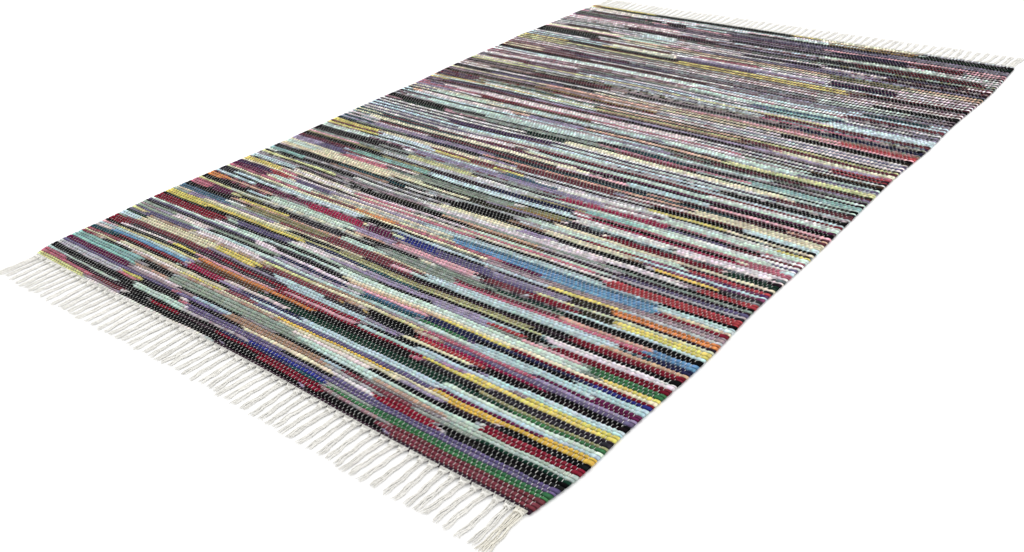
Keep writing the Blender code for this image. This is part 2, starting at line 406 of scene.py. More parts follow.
# Rags that take more and more of the common ones' places towards the back
BACK_RAGS = (
    {
        "pinkish_white": 12, "white": 5, "pale_grey": 6, "ice": 5, "cream": 4, "rose_grey": 7, "lilac": 5,
        "khaki": 4, "yellow": 3, "grey_green": 4, "pink": 3, "peach": 3,
    },
    {
        "black": 10, "plum_black": 12, "charcoal": 6, "dark_lilac": 6, "purple": 7, "plum": 5, "wine": 4,
        "maroon": 6, "dark_green": 4, "navy": 3, "brown": 3, "rose": 3, "olive_black": 3,
    },
)
BACK_SHARE = 0.8

# Past this row, an ordinary rag runs through the middle of each charted band of three rows or more
BROKEN_BANDS = 120

# Rags that stand out, by colour: first row, number of rows, start and stop in cm from the left edge
STRIKING_RAGS = {
    "black": (
        (1, 1, 28, 56), (1, 1, 56, 75), (1, 1, 77, 94), (2, 1, 28, 66), (2, 1, 80, 94), (3, 1, 28, 35),
        (4, 1, 25, 60), (5, 2, 0, 28), (7, 1, 60, 79), (7, 2, 27, 40), (8, 1, 40, 57), (8, 2, 100, 120),
        (11, 1, 37, 54), (11, 1, 63, 83), (13, 2, 24, 32), (14, 1, 14, 25), (14, 1, 83, 104),
        (15, 1, 6, 16), (15, 2, 106, 120), (18, 1, 5, 29), (18, 1, 29, 45), (22, 1, 60, 100),
        (23, 1, 0, 28), (23, 1, 60, 85), (26, 1, 72, 84), (27, 1, 80, 95), (28, 1, 95, 105),
        (29, 1, 72, 83), (29, 1, 97, 120), (30, 1, 70, 82), (30, 1, 106, 120), (31, 1, 70, 80),
        (35, 1, 23, 42), (36, 1, 90, 108), (38, 1, 39, 60), (41, 1, 25, 60), (42, 1, 65, 77),
        (43, 1, 0, 20), (44, 1, 14, 45), (44, 1, 95, 102), (45, 1, 71, 97), (47, 1, 52, 60),
        (49, 1, 60, 105), (51, 2, 0, 15), (54, 1, 14, 60), (55, 2, 97, 120), (56, 1, 50, 60),
        (57, 1, 0, 20), (58, 1, 0, 13), (59, 1, 19, 45), (63, 1, 5, 20), (63, 1, 60, 75), (64, 2, 44, 60),
        (71, 1, 107, 120), (72, 1, 97, 120), (73, 1, 68, 97), (77, 1, 36, 60), (78, 1, 30, 60),
        (80, 1, 92, 120), (82, 1, 4, 28), (83, 1, 93, 115), (84, 1, 60, 100), (85, 1, 38, 60),
        (86, 1, 0, 20), (86, 2, 60, 70), (87, 1, 8, 48), (87, 1, 20, 37), (91, 1, 42, 60), (95, 1, 40, 82),
        (98, 1, 82, 112), (98, 2, 0, 27), (104, 1, 94, 113), (104, 2, 0, 20), (109, 1, 10, 30),
        (111, 1, 107, 120), (111, 2, 89, 106), (115, 1, 35, 60), (118, 1, 93, 114), (121, 2, 96, 120),
        (122, 1, 60, 96), (129, 2, 96, 120), (139, 2, 0, 20), (140, 1, 0, 60), (141, 1, 0, 32),
        (149, 1, 35, 86), (153, 2, 105, 120), (160, 1, 60, 90), (167, 1, 60, 113), (174, 1, 92, 120),
        (201, 2, 0, 28), (209, 2, 101, 120), (217, 2, 98, 120), (218, 2, 13, 50), (238, 2, 84, 115),
        (256, 2, 5, 30), (259, 4, 101, 120), (262, 2, 5, 66),
    ),
    "charcoal": (
        (23, 1, 86, 120), (24, 1, 100, 120), (29, 1, 60, 72), (30, 1, 63, 70), (37, 1, 0, 34),
        (53, 2, 34, 46), (63, 3, 0, 5), (84, 1, 100, 120), (91, 2, 78, 88), (106, 1, 0, 28),
        (109, 1, 95, 110), (114, 1, 0, 45), (118, 2, 28, 86), (120, 1, 10, 60), (126, 1, 60, 96),
        (140, 1, 20, 60), (140, 2, 84, 98), (162, 1, 5, 92), (176, 1, 0, 45), (179, 1, 14, 45),
        (180, 2, 50, 92), (202, 1, 28, 60), (225, 4, 0, 20), (242, 3, 60, 88), (248, 2, 60, 100),
        (258, 1, 38, 92),
    ),
    "plum_black": (
        (0, 1, 54, 120), (3, 1, 7, 28), (3, 1, 42, 60), (15, 1, 98, 106), (27, 1, 30, 60), (48, 1, 60, 103),
        (59, 1, 60, 88), (73, 1, 16, 38), (77, 1, 16, 29), (78, 1, 97, 120), (98, 1, 40, 58),
        (99, 1, 27, 60), (109, 1, 80, 95), (131, 3, 29, 47), (145, 1, 0, 35), (180, 1, 8, 46),
        (233, 4, 98, 120), (235, 2, 62, 82), (242, 3, 22, 60), (247, 3, 38, 60), (249, 3, 60, 88),
        (253, 4, 30, 38), (255, 1, 24, 60),
    ),
    "maroon": (
        (0, 1, 17, 28), (1, 1, 94, 120), (2, 1, 17, 28), (2, 2, 93, 120), (10, 1, 80, 95), (26, 2, 2, 30),
        (30, 2, 43, 60), (49, 1, 30, 60), (50, 2, 44, 60), (51, 1, 60, 69), (54, 1, 64, 97),
        (58, 2, 80, 88), (67, 1, 25, 40), (103, 1, 107, 120), (110, 2, 43, 50), (114, 2, 60, 80),
        (119, 1, 10, 60), (124, 1, 7, 50), (133, 2, 106, 120), (137, 2, 68, 86), (146, 2, 87, 120),
        (160, 1, 5, 60), (164, 2, 88, 120), (181, 2, 22, 45), (186, 2, 85, 120), (190, 2, 3, 16),
        (195, 3, 30, 46), (198, 2, 100, 120), (224, 2, 20, 45),
    ),
    "brown": (
        (21, 2, 30, 50), (77, 1, 64, 83), (153, 2, 33, 55), (170, 1, 0, 30), (230, 2, 0, 26),
        (235, 2, 5, 20), (256, 2, 5, 20),
    ),
    "olive_black": (
        (57, 1, 13, 22), (58, 2, 98, 106), (62, 1, 90, 104), (79, 1, 8, 26), (79, 1, 40, 60),
        (89, 1, 37, 60), (90, 1, 60, 78), (147, 1, 76, 120), (162, 1, 60, 86), (170, 1, 30, 60),
        (171, 1, 0, 60), (173, 1, 93, 120), (231, 1, 55, 86),
    ),
    "wine": (
        (2, 1, 66, 80), (3, 1, 35, 42), (3, 1, 60, 80), (8, 2, 88, 100), (13, 2, 105, 120), (19, 1, 8, 29),
        (24, 1, 64, 87), (24, 2, 50, 60), (24, 3, 0, 5), (26, 1, 35, 60), (26, 1, 60, 72), (38, 1, 95, 120),
        (40, 3, 0, 20), (41, 2, 10, 19), (43, 2, 102, 120), (48, 2, 102, 120), (52, 1, 107, 118),
        (58, 2, 88, 98), (66, 2, 108, 120), (87, 1, 87, 100), (91, 2, 88, 112), (154, 2, 20, 33),
        (207, 3, 0, 18), (242, 3, 88, 119), (250, 3, 100, 112),
    ),
    "crimson": (
        (19, 2, 29, 40), (30, 1, 83, 106), (60, 3, 30, 47), (97, 1, 78, 112), (103, 2, 72, 94),
    ),
    "red": (
        (29, 1, 83, 97), (43, 1, 88, 95), (70, 2, 10, 17), (72, 3, 98, 120), (81, 2, 110, 120),
        (88, 1, 97, 120), (158, 3, 108, 120), (177, 2, 105, 120),
    ),
    "rose": (
        (2, 1, 0, 17), (3, 1, 0, 7), (32, 1, 83, 105), (53, 1, 75, 113), (53, 3, 0, 6), (75, 1, 35, 52),
        (75, 1, 63, 95), (92, 2, 17, 32), (97, 2, 112, 120), (184, 1, 85, 112), (225, 2, 52, 70),
    ),
    "pink": (
        (24, 1, 30, 40), (25, 1, 60, 72), (37, 1, 60, 79), (42, 1, 95, 108), (58, 2, 60, 76),
        (101, 1, 0, 15),
    ),
    "pinkish_white": (
        (11, 1, 22, 35), (14, 1, 60, 83), (16, 1, 10, 30), (24, 1, 5, 20), (32, 2, 20, 40), (35, 2, 9, 22),
        (37, 1, 35, 60), (43, 2, 40, 60), (45, 2, 99, 120), (75, 1, 15, 35), (80, 1, 60, 92),
        (81, 2, 78, 108), (82, 1, 80, 100), (95, 1, 100, 118), (96, 1, 78, 120), (125, 2, 25, 48),
        (147, 2, 5, 35), (157, 1, 8, 60), (157, 2, 60, 80), (158, 1, 20, 60), (193, 2, 0, 30),
        (246, 3, 0, 40),
    ),
    "plum": (
        (10, 2, 0, 21), (18, 1, 93, 113), (26, 1, 26, 34), (33, 1, 104, 120), (34, 1, 112, 120),
        (53, 3, 6, 13), (60, 3, 47, 55), (62, 1, 13, 30), (67, 1, 77, 108), (68, 2, 0, 10), (95, 2, 0, 14),
        (189, 3, 16, 36), (207, 2, 18, 40), (243, 2, 24, 50), (253, 1, 38, 70),
    ),
    "dark_lilac": (
        (6, 1, 60, 120), (6, 2, 42, 60), (7, 1, 79, 120), (9, 1, 0, 36), (9, 1, 38, 60), (17, 1, 60, 93),
        (18, 1, 43, 60), (31, 1, 87, 120), (32, 2, 3, 20), (38, 1, 0, 34), (42, 2, 24, 40), (60, 3, 62, 90),
        (70, 2, 18, 30), (77, 1, 97, 120), (93, 3, 8, 17), (175, 2, 12, 35), (189, 3, 36, 60),
        (206, 1, 22, 52), (220, 2, 48, 72), (254, 2, 60, 78), (257, 1, 66, 95),
    ),
    "lilac": (
        (15, 1, 88, 98), (32, 1, 105, 120), (42, 1, 78, 90), (43, 2, 60, 88), (47, 2, 5, 30),
        (58, 2, 46, 57), (61, 2, 78, 96), (71, 1, 30, 55), (82, 2, 73, 80), (93, 3, 0, 8), (106, 2, 30, 80),
        (116, 2, 10, 46), (144, 2, 60, 79), (147, 2, 38, 55), (153, 4, 0, 12), (222, 2, 48, 88),
    ),
    "purple": (
        (70, 2, 0, 10), (132, 2, 24, 54), (166, 3, 0, 12), (250, 2, 85, 98), (253, 3, 78, 98),
    ),
    "royal": (
        (5, 1, 60, 80), (37, 1, 110, 120), (61, 3, 56, 66),
    ),
    "navy": (
        (4, 1, 60, 72), (19, 1, 45, 60), (36, 1, 42, 60), (36, 1, 78, 90), (37, 1, 80, 110),
        (45, 1, 42, 57), (51, 2, 116, 120), (98, 2, 60, 77), (115, 1, 22, 35), (181, 2, 93, 120),
        (221, 4, 88, 104), (252, 2, 80, 98),
    ),
    "steel": (
        (36, 1, 64, 78), (49, 2, 0, 15), (70, 1, 65, 107), (108, 2, 60, 70), (193, 2, 78, 100),
    ),
    "sky": (
        (20, 1, 6, 28), (53, 2, 113, 120), (67, 1, 86, 108), (68, 2, 65, 108),
    ),
    "ice": (
        (4, 1, 0, 8), (18, 1, 60, 93), (19, 1, 62, 120), (21, 1, 0, 28), (25, 1, 72, 90), (26, 1, 84, 102),
        (27, 1, 60, 77), (27, 1, 98, 120), (28, 1, 60, 72), (28, 1, 105, 120), (28, 2, 0, 6),
        (29, 1, 48, 60), (33, 1, 90, 103), (34, 1, 27, 35), (34, 1, 60, 80), (34, 1, 90, 112),
        (35, 1, 90, 120), (36, 1, 108, 120), (50, 3, 69, 110), (57, 1, 97, 120), (64, 1, 60, 90),
        (64, 2, 20, 43), (69, 2, 108, 120), (71, 2, 60, 97), (76, 2, 0, 15), (86, 1, 98, 120),
        (94, 2, 82, 100), (96, 2, 42, 78), (110, 2, 17, 33), (112, 2, 108, 120), (120, 2, 78, 96),
        (128, 1, 88, 120), (151, 1, 27, 60), (188, 4, 100, 120), (220, 3, 0, 25), (236, 4, 30, 40),
    ),
    "turquoise": (
        (12, 3, 0, 20), (83, 2, 0, 12), (96, 2, 18, 40), (100, 2, 78, 92), (139, 2, 98, 120),
        (190, 3, 85, 98),
    ),
    "mint": (
        (4, 1, 8, 25), (5, 2, 28, 42), (11, 2, 100, 120), (12, 1, 60, 85), (13, 1, 60, 104),
        (20, 1, 95, 120), (39, 1, 0, 34), (40, 1, 25, 60), (40, 2, 60, 108), (52, 2, 46, 60),
        (57, 3, 21, 45), (68, 2, 13, 25), (76, 1, 64, 97), (88, 2, 70, 105), (90, 2, 0, 10),
        (100, 2, 92, 117), (102, 1, 60, 100), (106, 2, 92, 120), (107, 2, 0, 15), (124, 2, 60, 120),
        (129, 1, 30, 60), (141, 2, 32, 60), (142, 3, 12, 40), (150, 2, 8, 25), (151, 2, 75, 105),
        (163, 1, 0, 60), (195, 2, 62, 100), (199, 2, 15, 60), (206, 3, 90, 110), (231, 4, 26, 40),
        (246, 2, 80, 110),
    ),
    "teal": (
        (4, 1, 72, 80), (18, 2, 0, 8), (35, 1, 64, 78), (86, 1, 20, 42), (140, 2, 68, 84), (167, 1, 17, 60),
        (201, 2, 102, 116),
    ),
    "green": (
        (4, 1, 80, 120), (5, 1, 90, 120), (21, 1, 103, 120), (35, 1, 78, 90), (41, 2, 109, 120),
    ),
    "dark_green": (
        (10, 1, 105, 120), (20, 1, 60, 95), (21, 1, 50, 105), (30, 1, 0, 8), (56, 1, 82, 97),
        (91, 2, 112, 120), (135, 2, 45, 58), (137, 2, 5, 20), (260, 2, 98, 120), (264, 1, 24, 66),
    ),
    "grey_green": (
        (5, 1, 80, 90), (10, 1, 95, 105), (12, 3, 32, 60), (53, 2, 60, 75), (55, 1, 60, 70),
        (55, 2, 70, 82), (79, 1, 60, 120), (93, 2, 40, 60), (93, 2, 60, 67), (115, 1, 5, 22),
        (139, 1, 20, 62), (252, 3, 0, 25),
    ),
    "lime": (
        (0, 2, 0, 17), (22, 1, 3, 30), (46, 1, 8, 52), (46, 1, 60, 97), (80, 1, 0, 25), (102, 2, 30, 50),
        (148, 2, 90, 120),
    ),
    "yellow": (
        (8, 1, 21, 28), (24, 1, 20, 27), (24, 1, 86, 100), (25, 1, 95, 120), (26, 1, 105, 120),
        (29, 2, 28, 41), (38, 1, 80, 95), (40, 1, 112, 120), (44, 1, 0, 14), (45, 1, 0, 42), (46, 1, 0, 8),
        (53, 1, 15, 30), (58, 2, 106, 120), (64, 1, 90, 105), (73, 2, 0, 11), (112, 2, 0, 15),
        (216, 3, 50, 95),
    ),
    "gold": (
        (16, 1, 58, 85), (16, 1, 98, 106), (17, 1, 95, 120), (18, 1, 113, 120), (84, 1, 100, 113),
    ),
    "cream": (
        (8, 1, 60, 78), (15, 1, 60, 88), (16, 1, 0, 10), (16, 1, 42, 58), (16, 1, 85, 98), (17, 1, 10, 45),
        (28, 1, 12, 27), (28, 1, 79, 95), (28, 3, 6, 28), (32, 1, 60, 72), (39, 1, 60, 120),
        (47, 1, 10, 34), (52, 1, 60, 69), (82, 2, 60, 72), (85, 2, 77, 97), (88, 2, 0, 36),
        (90, 1, 96, 112), (90, 2, 12, 42), (110, 1, 105, 120), (112, 2, 16, 57), (114, 3, 96, 120),
        (121, 2, 5, 60), (135, 2, 60, 108), (162, 2, 96, 120), (204, 3, 0, 12), (221, 3, 28, 47),
        (233, 2, 0, 25), (259, 3, 2, 20), (263, 2, 73, 98),
    ),
    "khaki": (
        (22, 1, 100, 120), (47, 1, 52, 96), (50, 2, 20, 44), (93, 2, 67, 78), (228, 3, 87, 105),
    ),
    "ochre": (
        (92, 1, 66, 79), (171, 1, 28, 65), (260, 3, 76, 98),
    ),
    "orange": (
        (23, 1, 30, 60), (59, 2, 0, 5), (62, 2, 104, 120), (67, 1, 40, 53),
    ),
    "peach": (
        (38, 1, 60, 80), (50, 1, 108, 120), (57, 1, 48, 60), (60, 1, 5, 19), (78, 1, 60, 80),
        (174, 1, 30, 62),
    ),
    "tan": (
        (9, 2, 60, 75), (33, 1, 60, 70), (163, 1, 60, 88), (173, 1, 30, 62),
    ),
    "pale_grey": (
        (7, 2, 0, 20), (100, 2, 25, 60), (108, 1, 88, 106), (110, 1, 60, 88), (112, 1, 60, 84),
        (144, 1, 36, 60),
    ),
    "white": (
        (0, 1, 19, 54), (81, 1, 60, 80), (95, 2, 80, 100), (109, 1, 62, 92), (165, 1, 15, 50),
        (204, 1, 30, 60),
    ),
    "rose_grey": (
        (1, 1, 17, 28), (10, 1, 21, 40), (33, 1, 70, 90), (57, 1, 60, 75), (65, 2, 75, 120),
        (145, 1, 36, 60),
    ),
}

# Cells of a row, the ends of the chart, and how far a rag's end may move from its charted place
CELL = 0.010
CELL_COUNT = 124
CHART_WIDTH = 120
CHART_MIDDLE = 60
RAG_END_MOVE = (-1, 1)
MIDDLE_END_MOVE = (0, 11)

# How rags of one cloth differ, and how many are printed
RAG_LENGTHS = (0.30, 1.5)
RAG_TAPER = 0.014
RAG_TINTS = (0.95, 1.05)
RAG_LIGHTS = (0.84, 1.16)
LIGHTEST_RAG = 0.9
PRINTED_SHARE = 0.45
PRINT_COLOURS = ("white", "ice", "pinkish_white", "grey", "charcoal", "rose")
PRINT_AMOUNT = (0.2, 0.6)
FLECK_AMOUNT = 0.012
SPOT_CONTRAST = 4.5

# What the back end adds to a rag's brightness, by its brightest light
FAR_CHANGE = (
    {"light": 0.03, "adds": -0.70},
    {"light": 0.25, "adds": -0.42},
    {"light": 0.60, "adds": 0.20},
)

# How grey the rags turn, which they do in full from this share of the rug's length on
FAR_GREYING = 0.16
FULLY_GREYED = 0.5

# How unlike each other the beads of one rag are, in light and in colour
BEAD_FADE = 0.42
BEAD_FADE_AT_BACK = 0.75
BEAD_TINT = 0.16


def linear(colour):
    """The light that a colour out of 255 stands for, by the usual rule for screens."""
    parts = np.array(colour) / 255
    return np.where(parts <= 0.04045, parts / 12.92, ((parts + 0.055) / 1.055) ** 2.4)


class Rags:
    """Every rag of the weft: its cloth's colour, its print, and the cells of the rows that it fills."""

    def __init__(self):
        self.chance = random.Random(SEEDS["rags"])
        self.plain = []
        self.printed = []
        self.amount = []
        self.cells = np.zeros((ROW_COUNT, CELL_COUNT), int)
        self.weave_common()
        self.weave_striking()
        self.plain = np.array(self.plain)
        self.printed = np.array(self.printed)
        self.amount = np.array(self.amount)

    def new(self, name, row, may_be_printed=False):
        """Adds a rag of about this colour and returns its number.

        Towards the back the rags are duller, and the dark ones darker.
        """
        far = row / ROW_COUNT
        tint = [self.chance.uniform(*RAG_TINTS) for _ in range(3)]
        plain = linear(RAG_COLOURS[name]) * self.chance.uniform(*RAG_LIGHTS) * tint
        lights, adds = ([step[key] for step in FAR_CHANGE] for key in ("light", "adds"))
        plain *= 1 + far * np.interp(plain.max(), lights, adds)
        plain += (plain.mean() - plain) * FAR_GREYING * min(1.0, far / FULLY_GREYED)
        self.plain.append(np.clip(plain, 0.0, LIGHTEST_RAG))
        self.printed.append(linear(RAG_COLOURS[self.chance.choice(PRINT_COLOURS)]))
        is_printed = may_be_printed and self.chance.random() < PRINTED_SHARE
        self.amount.append(self.chance.uniform(*PRINT_AMOUNT) if is_printed else FLECK_AMOUNT)
        return len(self.plain) - 1

    def weave_common(self):
        """Fills the rows with ordinary rags laid to and fro, each for as long as it lasts."""
        for shuttle, rags in enumerate(COMMON_RAGS):
            left = 0
            for row in range(shuttle, ROW_COUNT, 2):
                cells = range(CELL_COUNT) if row % 4 < 2 else reversed(range(CELL_COUNT))
                for cell in cells:
                    if left <= 0:
                        at_back = self.chance.random() < BACK_SHARE * row / ROW_COUNT
                        heap = BACK_RAGS[shuttle] if at_back else rags
                        name = self.chance.choices(list(heap), list(heap.values()))[0]
                        rag = self.new(name, row, may_be_printed=True)
                        left = self.chance.uniform(*RAG_LENGTHS)
                    self.cells[row, cell] = rag
                    left -= CELL

    def weave_striking(self):
        """Lays the rags that stand out over the others."""
        for name, places in STRIKING_RAGS.items():
            for row, rows, start, stop in places:
                for line in range(row, row + rows):
                    if rows > 2 and row > BROKEN_BANDS and line == row + rows // 2:
                        continue
                    first, last = self.rag_ends(start, stop)
                    self.cells[line, first:last] = self.new(name, line)

    def rag_ends(self, start, stop):
        """The cells where a charted rag starts and stops: not in line with its neighbours' ends."""
        beyond = CELL_COUNT - CHART_WIDTH
        moves = {0: (0, 0), CHART_MIDDLE: MIDDLE_END_MOVE, CHART_WIDTH: (beyond, beyond)}
        before = self.chance.randint(*moves.get(start, RAG_END_MOVE))
        after = self.chance.randint(*moves.get(stop, RAG_END_MOVE))
        return start - before, stop + after

    def colours(self, rows, x, shift):
        """The colour at x in each row, the places where rags meet shifted to taper them."""
        chance = np.random.default_rng(int(rows[0]) + SEEDS["beads"])
        from_left = x + CLOTH_WIDTH / 2 + shift
        cell = np.clip((from_left / CELL).astype(int), 0, CELL_COUNT - 1)
        rag = self.cells[rows[:, None], cell]
        spots = chance.random((len(rows), x.shape[1]))
        spots = (spots + np.roll(spots, 1, 1) + np.roll(spots, 2, 1)) / 3
        spots = np.clip((spots - 0.5) * SPOT_CONTRAST + 0.5, 0, 1)
        mixed = (self.amount[rag] * spots)[..., None]
        spread = BEAD_FADE + BEAD_FADE_AT_BACK * rows[:, None, None] / ROW_COUNT
        fade = 1 + spread * (chance.random((len(rows), x.shape[1], 1)) - 0.5)
        tint = 1 + BEAD_TINT * (chance.random((len(rows), x.shape[1], 3)) - 0.5)
        return (self.plain[rag] * (1 - mixed) + self.printed[rag] * mixed) * fade * tint


def make_piece(name, points, quads, triangles=None, quad_uv=None, triangle_uv=None):
    """A smooth mesh object from arrays of points and faces, with a map of where each corner bakes."""
    if triangles is None:
        triangles = np.zeros((0, 3), int)
        triangle_uv = np.zeros((0, 3, 2))
    corners = np.concatenate([quads.ravel(), triangles.ravel()]).astype(np.int32)
    sizes = np.concatenate([np.full(len(quads), 4), np.full(len(triangles), 3)])
    starts = np.concatenate([[0], np.cumsum(sizes)[:-1]]).astype(np.int32)
    data = bpy.data.meshes.new(name)
    data.vertices.add(len(points))
    data.vertices.foreach_set("co", points.astype(np.float32).ravel())
    data.loops.add(len(corners))
    data.loops.foreach_set("vertex_index", corners)
    data.polygons.add(len(sizes))
    data.polygons.foreach_set("loop_start", starts)
    data.update(calc_edges=True)
    data.polygons.foreach_set("use_smooth", np.ones(len(sizes), bool))
    places = np.concatenate([quad_uv.reshape(-1, 2), triangle_uv.reshape(-1, 2)])
    layer = data.uv_layers.new(name="OFBake")
    layer.data.foreach_set("uv", np.clip(places, 0, 1).astype(np.float32).ravel())
    obj = bpy.data.objects.new(name, data)
    bpy.context.scene.collection.objects.link(obj)
    return obj


def paint(obj, colours):
    """Gives each point of a piece its own colour, for the piece's material to read."""
    layer = obj.data.attributes.new("dye", "FLOAT_COLOR", "POINT")
    full = np.ones((len(obj.data.vertices), 4), np.float32)
    full[:, :3] = colours.reshape(-1, 3)
    layer.data.foreach_set("color", full.ravel())


def grid_faces(count, lines, columns):
    """The quads of several grids of points, each of so many lines and columns, one after another."""
    corner = np.arange(count * lines * columns).reshape(count, lines, columns)
    near, far = corner[:, :-1], corner[:, 1:]
    faces = np.stack([near[..., :-1], near[..., 1:], far[..., 1:], far[..., :-1]], axis=-1)
    return faces.reshape(-1, 4)


def weft_heights(rows, line):
    """The height of one line of these rows at every column."""
    chance = np.random.default_rng(SEEDS["heights"] * line + int(rows[0]))
    at_border = line in (0, LAST_LINE)
    over = is_over(rows)
    if at_border:
        height = np.full(over.shape, VALLEY_HEIGHT) - VALLEY_DIP * over
    else:
        height = np.where(over, CREST_HEIGHT - WARP_PRESS, CREST_HEIGHT + BEAD_RISE)
        height += chance.uniform(-1, 1, over.shape) * HEIGHT_UNEVENNESS
    border = rows + (1 if line else 0)
    for side, columns in SELVEDGES.items():
        height[:, columns] = selvedge("height", side)
        if at_border:
            turned = turns_here(border, side)[:, None]
            valley = np.where(turned, TURN_VALLEY, VALLEY_HEIGHT)
            height[:, columns] = np.minimum(height[:, columns], valley)
    return height


def selvedge_bulge(rows, line, x):
    """Moves the selvedge columns out where a rag turns, and in at the notch where it doesn't."""
    border = rows + (1 if line else 0)
    for side, columns in SELVEDGES.items():
        out = np.full(len(rows), TURN_OUT_AT_CREST)
        if line in (0, LAST_LINE):
            out = np.where(turns_here(border, side), TURN_OUT, NOTCH_IN)
        x[:, columns] += side * TURN_BULGE * out[:, None] * selvedge("bulge", side)
    return x


def weft_lines(rows):
    """The points of these rows: rows by lines by columns."""
    lines = []
    for line, place in enumerate(ROW_LINES):
        share = (rows + place) / ROW_COUNT
        x = selvedge_bulge(rows, line, column_x(share))
        y = (1 - place) * ROW_BORDERS[rows] + place * ROW_BORDERS[rows + 1]
        z = weft_heights(rows, line)
        if line == 0:
            z[rows == 0] = END_HEIGHT
        if line == LAST_LINE:
            z[rows == ROW_COUNT - 1] = END_HEIGHT
        lines.append(np.stack([x, y, z], axis=-1))
    return np.stack(lines, axis=1)


def weft_piece(name, first, stop, rags):
    """A stretch of the cloth's rows of rag, each row a strip of its own."""
    rows = np.arange(first, stop)
    points = weft_lines(rows)
    quads = grid_faces(len(rows), len(ROW_LINES), COLUMN_COUNT)
    u = np.broadcast_to(COLUMNS / (COLUMN_COUNT - 1), points.shape[:3])
    v = (np.arange(len(rows))[:, None] + np.array(ROW_LINES)) / len(rows)
    v = np.broadcast_to(v[..., None], points.shape[:3])
    flat_uv = np.stack([u, v], axis=-1).reshape(-1, 2)
    obj = make_piece(name, points.reshape(-1, 3), quads, quad_uv=flat_uv[quads])
    chance = np.random.default_rng(first + SEEDS["tapers"])
    taper = chance.choice([-1.0, 1.0], (len(rows), 1)) * RAG_TAPER
    colours = []
    for line, place in enumerate(ROW_LINES):
        dye = rags.colours(rows, points[:, line, :, 0], taper * (place - 0.5))
        ramp = back_left_ramp(points[:, line, :, :1], points[:, line, :, 1:2])
        # Border lines: painted shade in the valley between rows, lighter for pale rags, none at the rug's
        # two ends
        if line in (0, LAST_LINE):
            at_end = (rows + place == 0) | (rows + place == ROW_COUNT)
            glow = VALLEY_GLOW * (1 - VALLEY_LOSS * ramp)
            shade = VALLEY_PAINTED_SHADE + glow * dye.mean(-1, keepdims=True)
            painted_shading = np.where(at_end[:, None, None], 1, shade)
        else:
            # Crest lines: painted shade where the warp presses the rag down, painted light on the beads
            # between
            pressed = PRESSED_PAINTED_SHADE - PRESSED_LOSS * ramp
            painted_shading = np.where(is_over(rows)[..., None], pressed, 1 + BEAD_PAINTED_LIGHT * ramp)
        colours.append(dye * painted_shading)
    paint(obj, np.stack(colours, axis=1))
    return obj


def warp_floats(rows):
    """The points of every float of the single warps over these rows."""
    chance = np.random.default_rng(int(rows[0]) + SEEDS["floats"])
    row_index, column = np.nonzero(is_over(rows))
    row = rows[row_index]
    share = (row + 0.5) / ROW_COUNT
    x = column_x(share)[np.arange(len(row)), column]
    sign = 1 - 2 * ((row + WARP_NUMBER[column]) % 2)
    near = ROW_BORDERS[row, column] - PINCH * sign
    far = ROW_BORDERS[row + 1, column] + PINCH * sign
    return float_sections(chance, row, x, near, far)


def doubled_floats(rows):
    """The floats of the doubled outer warps, which together cover every row."""
    chance = np.random.default_rng(int(rows[0]) + SEEDS["doubled"])
    overlap = DOUBLED_OVERLAP * ROW_PITCH
    found = []
    for side in (-1, 1):
        for number, inset in enumerate(DOUBLED_WARPS):
            row = rows[rows % 2 == number]
            x = edge_x((row + 0.5) / ROW_COUNT, side) - side * inset
            column = SELVEDGE_COLUMNS - 1 if side < 0 else COLUMN_COUNT - SELVEDGE_COLUMNS
            near = ROW_BORDERS[row, column] - overlap
            far = ROW_BORDERS[row + 1, column] + overlap
            found.append(float_sections(chance, row, x, near, far))
    return np.concatenate(found)


def float_sections(chance, row, x, near, far):
    """The eight points of each float: two ends, and at each shoulder a left, a top and a right."""
    count = len(row)
    sway = chance.uniform(-1, 1, (count, 2)) * FLOAT_SWAY
    half = FLOAT_HALF_WIDTH * chance.uniform(*FLOAT_WIDTHS, count)
    half *= 1 - WARP_NARROWING * back_left_ramp(x, near)
    side = CREST_HEIGHT - WARP_PRESS - FLOAT_SINK
    top = side + FLOAT_THICKNESS * chance.uniform(*FLOAT_THICKNESSES, count)
    flat = np.full(count, side)
    span = far - near
    at_fringe = side - FLOAT_DROP_AT_FRINGE
    low_z = np.where(row == 0, at_fringe, FLOAT_END_HEIGHT)
    high_z = np.where(row == ROW_COUNT - 1, at_fringe, FLOAT_END_HEIGHT)
    places = [(x, near + FLOAT_END * span, low_z)]
    for number, y in enumerate((near + FLOAT_SHOULDER * span, far - FLOAT_SHOULDER * span)):
        for across, z in ((-half, flat), (0, top), (half, flat)):
            places.append((x + across + sway[:, number], y, z))
    places.append((x, far - FLOAT_END * span, high_z))
    return np.stack([np.stack(place, axis=-1) for place in places], axis=1)


def warp_piece(name, first, stop):
    """The white dashes of warp that pass over a stretch of the rows."""
    rows = np.arange(first, stop)
    floats = np.concatenate([warp_floats(rows), doubled_floats(rows)])
    base = FLOAT_POINTS * np.arange(len(floats))[:, None]
    quads = np.concatenate([base + (1, 2, 5, 4), base + (2, 3, 6, 5)])
    triangles = np.concatenate(
        [base + (0, 2, 1), base + (0, 3, 2), base + (7, 4, 5), base + (7, 5, 6)]
    )
    points = floats.reshape(-1, 3)
    low, high = points.min(0), points.max(0)
    uv = (points[:, :2] - low[:2]) / (high[:2] - low[:2])
    obj = make_piece(name, points, quads, triangles, uv[quads], uv[triangles])
    chance = np.random.default_rng(first + SEEDS["float_shades"])
    shade = chance.uniform(*FLOAT_SHADES, (len(floats), 1, 1))
    shade *= 1 - WARP_DARKENING * back_left_ramp(floats[:, :1, :1], floats[:, :1, 1:2])
    # Painted shade at each float's two ends, where it dips between the rows
    ends = np.ones((FLOAT_POINTS, 1))
    ends[[0, -1]] = FLOAT_END_PAINTED_SHADE
    paint(obj, linear(WARP_WHITE) * shade * ends)
    return obj


